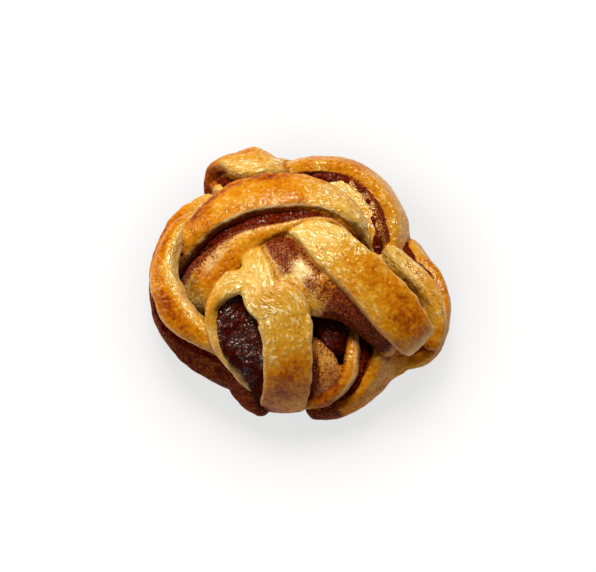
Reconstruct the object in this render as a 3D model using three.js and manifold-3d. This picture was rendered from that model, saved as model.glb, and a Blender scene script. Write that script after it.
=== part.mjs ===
// A baked cinnamon twist: a long strip of two dough layers with cinnamon filling between them, twisted
// and tied into a round knot. Each stretch of the strip that shows is one curved band; the bands of dough
// are fused into one solid, as they are in the oven, and the filling between them is a body of its own
// wherever it comes to the surface.
// Millimetres, +Z up. The bun stands on z = 0 with its middle over the origin, front towards -Y.
import * as THREE from 'three';
import { mergeVertices } from 'three/addons/utils/BufferGeometryUtils.js';
import Module from 'manifold-3d';

const wasm = await Module();
wasm.setup();

// ---- Driving dimensions ----
const HEART = new THREE.Vector3(0, 0, 8); // every band faces away from this point when its tilt is 0
const GAP = 0.35; // clearance between the filling and the dough round it
const SQUARENESS = 4; // exponent of a band's superellipse section: 2 is oval, more is squarer
const END_ROUND = 3; // length over which a band's end closes
const END_NARROW = 0.35; // width of a band at its very end, as a share of its full width
const SECTION_STEP = 8; // distance between the sections of a band that states no step of its own
const DOUGH_SIDES = 10; // points in a section of dough
const FILLING_SIDES = 8;
const UNDERSIDE_SAG = 0.3; // how much of its crown a band's underside follows
const FOOT_SHARE = 0.84; // width of the dough under a band, as a share of the band's
const FOOT_DRAW = 0.85; // how far that dough is drawn in towards the middle where it meets the tray
const FOOT_SINK = 0.2; // how deep its top lies below the band's middle, as a share of the thickness
const BASE_REACH = [50, 43, 46, 44, 47.5, 46.5, 47, 45.5, 41.5, 45, 46.5, 51]; // every 30 degrees from +X
const BASE_HEIGHT = 26;
const BASE_BELLY = 6; // height at which the base is widest
const BASE_SINK = 3; // how far the base reaches below the tray before it is cut flat
const BASE_SHOULDER = 0.7; // 0 is a block, 1 a ball
const BASE_SIDES = 24;
const BASE_LAYERS = 8;
const FOOT_STEP = 14; // distance between the steps of a foot
const TRAY = 120; // side of the block that cuts the bun flat
const ROUNDS = [0, 0.3, 1]; // sections in a band's round end, as shares of its length
const CENTRE_SHIFT = new THREE.Vector3(-1.4, 0.65, 0); // brings the middle of the finished bun to the origin

// Bands of dough. A row is one place along a band: x, y, z of its middle, its width, and its tilt in
// degrees from facing straight out of the bun. A band with a foot rests on dough down to the tray.
const DOUGH = {
  // the band that arches over the back of the bun, and the layer under it
  arc_top: { thick: 4.5, crown: 1.3, foot: false, path: [
    [-42.5, 1.5, 18, 5, -23], [-38.5, 7.2, 29, 8, -32], [-30, 14.8, 35.5, 12.5, -24],
    [-18.5, 20.5, 38.5, 16, -20], [-5, 22.3, 40, 16, -17], [8, 21, 39, 14, -12], [19, 14.5, 36, 8, -12],
    [23.5, 8, 25.5, 2, -43]] },
  arc_lining: { thick: 4.5, crown: 0.8, foot: true, path: [
    [-38, 3, 18, 6, -23], [-35, 9, 26, 9, -32], [-27.5, 15, 30.5, 13, -24], [-17, 20, 33, 16.5, -20],
    [-5, 22, 34, 16.5, -17], [7, 20.6, 33.5, 14.5, -12], [17.5, 14, 31, 9, -12]] },
  arc_front: { thick: 4.5, crown: 1, foot: false, path: [
    [-38, -10.5, 22, 12, -34], [-30, -7, 31.8, 18.5, -19], [-19.8, 2, 40.3, 10, -17],
    [-5.5, 6.5, 44.5, 4.5, -25], [9.5, 10, 42, 3.5, -33], [20.5, 8, 31, 2.5, -74]] },
  // the band that crosses the top to the right, and the layers under it
  diagonal_top: { thick: 4.5, crown: 0.9, foot: false, path: [
    [-4.5, 7.5, 37.5, 6, 30], [2, 5, 45.5, 9, 5], [10, -1, 48, 15, -9], [18, -8, 47, 16, -11],
    [25.5, -15, 44, 17, -12], [32.5, -21.5, 39.5, 17.5, -16], [38, -27, 33.5, 15.5, -17],
    [42.3, -27.7, 26, 12.5, -20]] },
  diagonal_lining: { thick: 4.5, crown: 0.8, foot: true, path: [
    [3, 4.5, 38, 8, 5], [11, -1, 41.5, 13, -9], [18, -7, 41, 14, -11], [24.5, -13, 38, 15, -12],
    [30.5, -19, 33.5, 15, -16], [36, -25, 26, 13, -17]] },
  diagonal_front: { thick: 4.5, crown: 1.5, foot: true, step: 5, path: [
    [-10.5, 6, 38, 9, 12], [-3.6, -5, 43.3, 17, 2], [4.8, -15.2, 42, 16, -4], [16.5, -20.5, 38, 10, -42],
    [26, -26, 31, 9, -60], [33, -30, 22, 5, -70]] },
  // the strap that comes down the front, with the collar that folds round the eye of filling
  strap: { thick: 4.5, crown: 0.9, foot: true, path: [
    [-14.5, 2.5, 38.5, 3, 10], [-14.3, -7.5, 43.3, 10.5, 8], [-12.8, -14.5, 44.3, 12, 8],
    [-11.4, -18.8, 44, 14, 8], [-5.3, -22.8, 42.8, 18, 8], [-3.5, -33, 37, 17, 5],
    [-3.5, -42, 28, 16.5, 2], [-5, -46, 16.5, 16, 4], [-6.5, -43.5, 3, 13.5, 7]] },
  eye_collar: { thick: 3.6, crown: 0.8, foot: false, step: 4, path: [
    [-9, -13.5, 43.2, 5, 2], [-15.5, -13.2, 43.8, 7, -2], [-22.5, -13.6, 42.8, 8.6, -9],
    [-28.8, -20, 37.3, 4.2, 0], [-27, -31, 31.5, 3.5, -22], [-20.5, -38, 25.5, 2.5, -25],
    [-14.5, -42, 16.5, 1.5, 9]] },
  eye_foot: { thick: 5, crown: 1, foot: false, path: [
    [-21.5, -33.5, 11.5, 11, 35], [-19, -39.5, 12, 10, 30], [-15, -44.5, 11, 7.5, 30],
    [-10, -47.5, 9, 5, 25]] },
  // the left side: an arc of crust, the open layer under it, and the wall that stands on the tray
  left_top: { thick: 5.5, crown: 1.8, foot: false, path: [
    [-34.5, 20.5, 23, 4, 62], [-42.5, 10, 30, 6.5, 38], [-46, -4, 31.5, 9, 33],
    [-42, -18, 30.5, 11.5, 38], [-31, -27.5, 28, 7.5, 34], [-18.5, -32, 21.5, 4, 30]] },
  left_under: { thick: 5, crown: 0.5, foot: false, path: [
    [-29.5, 30.5, 16, 8.5, 80], [-43, 18.5, 18, 9, 60], [-47.5, 0.5, 17, 11.5, 48],
    [-44, -17.5, 16.5, 12.5, 44], [-31, -30.5, 14.5, 12.5, 49], [-14, -36.5, 12, 6, 40]] },
  left_wall: { thick: 5, crown: 1.5, foot: false, path: [
    [-29, 33, 8, 13, -5], [-42, 21.5, 8, 14, -8], [-47, 4, 7.5, 13, -12], [-44.5, -15, 7, 12, -15],
    [-34, -28.5, 6.5, 11, -15], [-20, -36.5, 6, 10, -15], [-10, -41, 5.5, 10, -10]] },
  // the knob at the back left, where the end of the strip is folded over
  knob_top: { thick: 4, crown: 1.3, foot: true, path: [
    [-5, 38.5, 22, 6.5, 53], [-10.5, 40, 24, 11, 45], [-16, 41, 24.8, 15.5, 44],
    [-21.5, 41, 24.5, 12, 40], [-26.5, 42, 22.8, 5.5, 34], [-30.5, 41.8, 18, 3.5, 42],
    [-32, 39, 10.5, 4, 47], [-31.7, 35, 4, 3, 50]] },
  knob_under: { thick: 3.5, crown: 0.8, foot: false, path: [
    [-24.5, 31, 18, 5, 75], [-28.5, 34.5, 15, 6, 68], [-30, 36.5, 10.5, 5, 65], [-30, 34, 5, 4, 65]] },
  knob_wall: { thick: 4.5, crown: 2, foot: false, path: [
    [2, 42.5, 10, 18, 0], [-9, 44, 11, 20, 0], [-18, 44, 11, 20, 0], [-26, 41, 9.5, 17, 0],
    [-30.5, 35, 8, 13, 0]] },
  // the lobe at the back right
  back_outer: { thick: 4.5, crown: 1.8, foot: false, path: [
    [-6, 40.5, 17, 14, -10], [7, 42, 21, 17, -12], [20, 39.5, 21.5, 17, -12], [29.5, 31.5, 21, 17, -9],
    [35.5, 19.5, 19.5, 16, -8], [33.5, 6, 17, 13, -14]] },
  back_inner: { thick: 9.5, crown: 0.5, foot: false, path: [
    [1.3, 36, 14, 15.5, -1], [11.4, 35.6, 16, 19.5, 4], [19.1, 30.3, 17, 22, 8],
    [24.3, 23, 17, 22.5, 11], [26.4, 14.2, 16.5, 21.5, 15], [27, 6, 13, 13, 2]] },
  back_wall: { thick: 5, crown: 1.8, foot: false, path: [
    [-6, 41.5, 7, 13, -6], [7, 43, 8, 14, -6], [20.5, 40.5, 8, 14, -6], [30.5, 32.5, 8, 14, -6],
    [36.5, 20, 7.5, 14, -6], [35.5, 8, 7, 13, -10]] },
  // the lobe at the right
  right_outer: { thick: 4, crown: 1.5, foot: false, path: [
    [41, 15, 9, 13, -14], [45, 7, 11.5, 19.5, -18], [49.5, -1, 12.5, 20.5, -2], [51, -10, 12, 20.5, 4],
    [49.5, -19.5, 11, 18, 6], [45, -26.5, 8.5, 12, 1], [36.5, -28, 6, 8, -12]] },
  right_inner: { thick: 5.5, crown: 1.5, foot: false, path: [
    [31.5, 6.5, 23, 5.5, -63], [37.5, -1.5, 28, 6.5, -36], [44.5, -9.5, 28, 7, -32],
    [48, -19.5, 24, 4.5, -14], [45, -27.5, 17.5, 3.5, -11]] },
  // the lobe at the front right, with the fold of bare dough inside it
  front_inner: { thick: 4.5, crown: 1.2, foot: false, path: [
    [18, -16, 22.5, 3.5, -74], [19, -27.5, 25.5, 4.5, -62], [17.5, -38.5, 23, 6.5, -57],
    [10.5, -45, 17, 5, -54], [0.5, -46, 11, 3, -59]] },
  front_outer: { thick: 4.5, crown: 2, foot: false, path: [
    [31.5, -23, 13, 25, -23], [29.5, -32.5, 13, 22.5, -3], [22.5, -41, 10.5, 17, 5],
    [13.5, -45.5, 8, 12, 4], [3, -45.5, 6, 8.5, 11]] },
  front_fold: { thick: 4.5, crown: 0.6, foot: false, path: [
    [3, -26, 26, 3, 1], [7, -33, 25.5, 11, -8], [7.8, -39.5, 21.5, 12.8, -23], [4.5, -43, 15, 5, -8]] },
};

// Sheets of filling, in the same terms. Each runs into the bun between two bands of dough.
const FILLING = {
  filling_arc: { thick: 2.4, path: [
    [-42, 2.5, 18, 8, -18], [-33.5, 9.5, 29.5, 12, -30], [-19.5, 15, 36, 16, -16],
    [-4.5, 18, 37.5, 17, -8], [11, 17.5, 36.5, 13, -8], [22, 11, 29, 6, -20]] },
  filling_diagonal: { thick: 2.2, path: [
    [4, 3, 42, 9, 0], [11, -2, 44.5, 13.5, -9], [18, -8.5, 43.8, 15, -11],
    [24.5, -14.5, 40.8, 15.5, -12], [31, -20.5, 36.3, 15.5, -16], [36.5, -26, 29.8, 13, -17]] },
  filling_eye: { thick: 3, path: [
    [-19.5, -15.5, 38.5, 6.5, 15], [-20.5, -24, 36, 14.5, 27], [-18, -32.5, 33, 15, 25],
    [-14.5, -39, 28, 9.5, 11], [-13, -44, 20.5, 5.5, -5], [-12.5, -47.5, 12, 3, 10]] },
  filling_pocket: { thick: 5, path: [
    [5, -11, 27, 9, 0], [10.5, -17, 28.5, 15, 0], [13, -25, 27.5, 13, 0], [12.5, -32.5, 23.5, 8, 0]] },
  filling_back: { thick: 4, path: [
    [0.5, 38, 15, 16, 0], [10.5, 37.5, 18, 19, 0], [20.5, 33.5, 19, 19, 0], [26.8, 25, 19, 19, 0],
    [29, 14, 18.5, 18, 0], [28, 4.5, 13, 12, -10]] },
  filling_right: { thick: 3.5, path: [
    [39.5, 12.5, 12, 12, -10], [41.5, 5.5, 15.5, 15, -10], [46.5, -1, 16, 15, -5], [48, -9, 16, 14, 0],
    [47, -18, 14, 12, 0], [44, -24.5, 10.5, 8, 0]] },
  filling_front: { thick: 5, path: [
    [22.5, -17.5, 16, 14, 0], [24, -32, 17, 14, 0], [18.5, -42, 12.5, 11, 0], [3.5, -45, 8.5, 5, 0]] },
  filling_left: { thick: 2.5, path: [
    [-40, 19.5, 21, 6.5, 56], [-47, 7, 21.5, 7.5, 50], [-48, -7, 21.5, 8, 53], [-43.5, -20.5, 21, 8, 46],
    [-31.5, -28, 19.5, 7, 43], [-18, -32.5, 15.5, 4.5, 31]] },
  filling_knob: { thick: 2.5, path: [
    [-20.5, 32.5, 21, 4, 80], [-25.5, 35.5, 19, 5, 75], [-28.5, 37.5, 14.5, 4, 62],
    [-29.5, 36, 7.5, 3, 70]] },
};

const CRUST = new THREE.MeshStandardMaterial({ color: 0xc9872b, roughness: 0.42, metalness: 0 });
const CINNAMON = new THREE.MeshStandardMaterial({ color: 0x4a1408, roughness: 0.35, metalness: 0 });

// ---- Helpers ----

// The middle, sideways and outward directions and width of a band at a share of its length.
function rail(path) {
  const middles = path.map(([x, y, z]) => new THREE.Vector3(x, y, z));
  const shapes = path.map(([, , , width, tilt]) => new THREE.Vector2(width, tilt));
  const line = new THREE.CatmullRomCurve3(middles, false, 'catmullrom', 0.5);
  const shape = new THREE.CatmullRomCurve3(
    shapes.map(({ x, y }) => new THREE.Vector3(x, y, 0)), false, 'catmullrom', 0.5);
  const at = (share) => {
    const t = line.getUtoTmapping(share);
    const middle = line.getPoint(t);
    const along = line.getTangent(t);
    const { x: width, y: tilt } = shape.getPoint(t);
    const outward = middle.clone().sub(HEART).projectOnPlane(along).normalize();
    const side = along.clone().cross(outward);
    const turn = THREE.MathUtils.degToRad(tilt);
    side.applyAxisAngle(along, turn);
    outward.applyAxisAngle(along, turn);
    return { middle, side, outward, width: Math.max(width, 1) };
  };
  return { at, length: line.getLength() };
}

// Distances along a band at which it has a section: close together at its two round ends.
function sectionPlaces(length, step) {
  const round = ROUNDS.map((share) => share * END_ROUND);
  const steps = Math.max(2, Math.round((length - 2 * END_ROUND) / step));
  const middle = Array.from({ length: steps - 1 },
    (_, i) => END_ROUND + ((i + 1) * (length - 2 * END_ROUND)) / steps);
  return [...round, ...middle, ...round.map((place) => length - place).reverse()];
}

const powerOf = (value, exponent) => Math.sign(value) * Math.abs(value) ** exponent;

// A band or sheet: a superellipse section with a crowned face, carried along its path and closed round at
// its ends. The grid of a sphere gives the closed mesh, its rings the sections and its poles the ends.
function band({ path, thick, crown = 0.4, step = SECTION_STEP }, sides) {
  const { at, length } = rail(path);
  const places = sectionPlaces(length, step);
  const grid = new THREE.SphereGeometry(1, sides, places.length - 1);
  const { position, uv } = grid.attributes;
  for (let i = 0; i < position.count; i += 1) {
    const place = places[Math.round((1 - uv.getY(i)) * (places.length - 1))];
    const { middle, side, outward, width } = at(place / length);
    const fromEnd = Math.min(place, length - place) / END_ROUND;
    const close = Math.sqrt(Math.max(0, 1 - (1 - Math.min(fromEnd, 1)) ** 2));
    const angle = (2 * Math.PI * (Math.round(uv.getX(i) * sides) % sides)) / sides;
    const across = powerOf(Math.cos(angle), 2 / SQUARENESS);
    const up = powerOf(Math.sin(angle), 2 / SQUARENESS);
    const lift = crown * (1 - across ** 2) * (up > 0 ? 1 : -UNDERSIDE_SAG);
    const narrow = close === 0 ? 0 : END_NARROW + (1 - END_NARROW) * close;
    middle.addScaledVector(side, (across * width * narrow) / 2);
    middle.addScaledVector(outward, ((up * thick) / 2 + lift) * close);
    position.setXYZ(i, middle.x, middle.y, middle.z);
  }
  return grid;
}

// The dough between a band and the tray: a block whose top lies under the band.
function foot({ path, thick }) {
  const { at, length } = rail(path);
  const steps = Math.max(2, Math.round(length / FOOT_STEP));
  const block = new THREE.BoxGeometry(1, 1, 1, 1, 1, steps);
  const { position } = block.attributes;
  for (let i = 0; i < position.count; i += 1) {
    const { middle, side, outward, width } = at(position.getZ(i) + 0.5);
    middle.addScaledVector(side, position.getX(i) * width * FOOT_SHARE);
    middle.addScaledVector(outward, -FOOT_SINK * thick);
    if (position.getY(i) < 0) {
      middle.set(middle.x * FOOT_DRAW, middle.y * FOOT_DRAW, -1);
    }
    position.setXYZ(i, middle.x, middle.y, middle.z);
  }
  return block;
}

// The lump of dough inside the knot: a squashed sphere whose outline follows the lobes.
function base() {
  const outline = new THREE.CatmullRomCurve3(
    BASE_REACH.map((reach) => new THREE.Vector3(reach, 0, 0)), true, 'catmullrom', 0.5);
  const lump = new THREE.SphereGeometry(1, BASE_SIDES, BASE_LAYERS);
  const { position, uv } = lump.attributes;
  for (let i = 0; i < position.count; i += 1) {
    const azimuth = (2 * Math.PI * (Math.round(uv.getX(i) * BASE_SIDES) % BASE_SIDES)) / BASE_SIDES;
    const climb = Math.PI * (uv.getY(i) - 0.5);
    const level = Math.max(0, Math.cos(climb)) ** BASE_SHOULDER;
    const pole = uv.getY(i) === 0 || uv.getY(i) === 1;
    const reach = pole ? 0 : outline.getPoint(azimuth / (2 * Math.PI)).x * level;
    const rise = climb > 0 ? BASE_HEIGHT - BASE_BELLY : BASE_BELLY + BASE_SINK;
    position.setXYZ(i, reach * Math.cos(azimuth), reach * Math.sin(azimuth),
      BASE_BELLY + rise * Math.sin(climb));
  }
  return lump;
}

// A closed geometry as a solid, turned the right way out, and moved outwards by grow if that is given.
function solid(geometry, grow = 0) {
  geometry.deleteAttribute('normal');
  geometry.deleteAttribute('uv');
  const merged = mergeVertices(geometry, 1e-3);
  const faces = Array.from(merged.index.array);
  const { position } = merged.attributes;
  const corner = (k) => new THREE.Vector3().fromBufferAttribute(position, faces[k]);
  let volume = 0;
  for (let k = 0; k < faces.length; k += 3) {
    volume += corner(k).dot(corner(k + 1).cross(corner(k + 2)));
  }
  if (volume < 0) {
    faces.reverse();
    merged.setIndex(faces);
  }
  if (grow > 0) {
    merged.computeVertexNormals();
    const { normal } = merged.attributes;
    for (let i = 0; i < position.count; i += 1) {
      position.setXYZ(i, position.getX(i) + grow * normal.getX(i), position.getY(i) + grow * normal.getY(i),
        position.getZ(i) + grow * normal.getZ(i));
    }
  }
  const mesh = new wasm.Mesh({
    numProp: 3,
    vertProperties: new Float32Array(position.array),
    triVerts: new Uint32Array(faces),
  });
  return new wasm.Manifold(mesh);
}

// The largest body of a solid, without the skins of hollows sealed inside it.
function mainBody(shape) {
  return shape.decompose().reduce((best, body) => (body.volume() > best.volume() ? body : best));
}

function piece(name, shape, material) {
  const { vertProperties, triVerts } = shape.getMesh();
  const geometry = new THREE.BufferGeometry();
  geometry.setAttribute('position', new THREE.Float32BufferAttribute(vertProperties, 3));
  geometry.setIndex(Array.from(triVerts));
  geometry.computeVertexNormals();
  const mesh = new THREE.Mesh(geometry, material);
  mesh.name = name;
  return mesh;
}

// ---- The bun ----
const bun = new THREE.Group();
bun.position.copy(CENTRE_SHIFT);

const bodies = Object.values(DOUGH).flatMap((strip) => (
  strip.foot ? [solid(band(strip, DOUGH_SIDES)), solid(foot(strip))] : [solid(band(strip, DOUGH_SIDES))]));
const belowTray = solid(new THREE.BoxGeometry(TRAY, TRAY, TRAY).translate(0, 0, -TRAY / 2));
const room = Object.values(FILLING).map((sheet) => solid(band(sheet, FILLING_SIDES), GAP));
const dough = wasm.Manifold.union([...bodies, solid(base())])
  .subtract(wasm.Manifold.union([belowTray, ...room]));
bun.add(piece('dough', mainBody(dough), CRUST));

for (const [name, sheet] of Object.entries(FILLING)) {
  bun.add(piece(name, solid(band(sheet, FILLING_SIDES)), CINNAMON));
}

export default bun;
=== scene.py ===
"""A baked cinnamon twist: a strip of two dough layers with cinnamon filling between them, tied in a knot.

The sections follow the bun as it is made: the dough strip and its crust, then the cinnamon filling that
shows between its turns, then the floor, the light and the camera.
Band tables are millimetres in the part's own drawing; everything put into Blender is metres.
"""
import math

import bpy
import numpy as np
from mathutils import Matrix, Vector


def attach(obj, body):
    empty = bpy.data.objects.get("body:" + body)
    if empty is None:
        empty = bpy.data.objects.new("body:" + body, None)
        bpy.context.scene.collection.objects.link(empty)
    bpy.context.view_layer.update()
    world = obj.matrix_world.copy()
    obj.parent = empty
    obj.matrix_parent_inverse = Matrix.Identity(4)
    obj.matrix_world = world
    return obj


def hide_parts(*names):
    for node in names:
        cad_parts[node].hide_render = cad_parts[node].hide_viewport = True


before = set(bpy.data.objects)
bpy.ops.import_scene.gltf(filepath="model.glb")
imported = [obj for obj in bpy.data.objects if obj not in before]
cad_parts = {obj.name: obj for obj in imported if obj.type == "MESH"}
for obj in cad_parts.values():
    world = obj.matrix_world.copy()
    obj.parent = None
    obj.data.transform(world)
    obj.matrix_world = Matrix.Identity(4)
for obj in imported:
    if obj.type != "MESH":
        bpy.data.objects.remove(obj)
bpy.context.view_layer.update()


# ---- The dough ----------------------------------------------------------------------------------------
# One long strip of yeast dough, rolled, cut, twisted and tied, then egg-washed and baked. Each stretch that
# shows is a band carried along a path. The bands, the dough that holds them up and the lump in the middle
# are fused into one skin, and the skin is given its lumps, wrinkles and blisters.

MM = 0.001
HEART = np.array([0.0, 0.0, 8.0])            # a band with no tilt faces away from this point
CENTRE_SHIFT = np.array([-1.4, 0.65, 0.0])   # brings the drawing's middle to the origin
EDGE_RADIUS = 1.1                            # roundness of a band's long edges
END_ROUND = 3.0                              # length over which a band's end closes
END_NARROW = 0.35                            # width that is left there, as a share of the band's
UNDERSIDE_SAG = 0.3                          # how much of its crown a band's underside follows
FOOT_SHARE = 0.84                            # width of the dough under a band, as a share of the band's
FOOT_SINK = 0.2                              # how far that dough's top lies below the band's middle, as a
                                             # share of the band's thickness
FOOT_DRAW = 0.85                             # how far that dough is drawn in where it meets the tray
BASE_REACH = [50, 43, 46, 44, 47.5, 46.5, 47, 45.5, 41.5, 45, 46.5, 51]  # every 30 degrees from +X
BASE_HEIGHT = 26.0
BASE_BELLY = 6.0                             # height of the lump's widest place
BASE_SINK = 3.0                              # how far it would reach below the tray, where it is cut flat
BASE_SHOULDER = 0.7                          # below 1, its sides are steeper than a ball's
LUMP_BAKE = 0.6                              # how browned the dough is that belongs to no band
SKIN_VOXEL = 0.55                            # the fused skin's mesh size
SKIN_TRIANGLES = 190000                      # what it is then thinned to
FINE_STEPS = 1200                            # steps in which a band's length is measured
NEAR_STEPS = 110                             # places along a band among which the nearest one is sought

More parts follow.
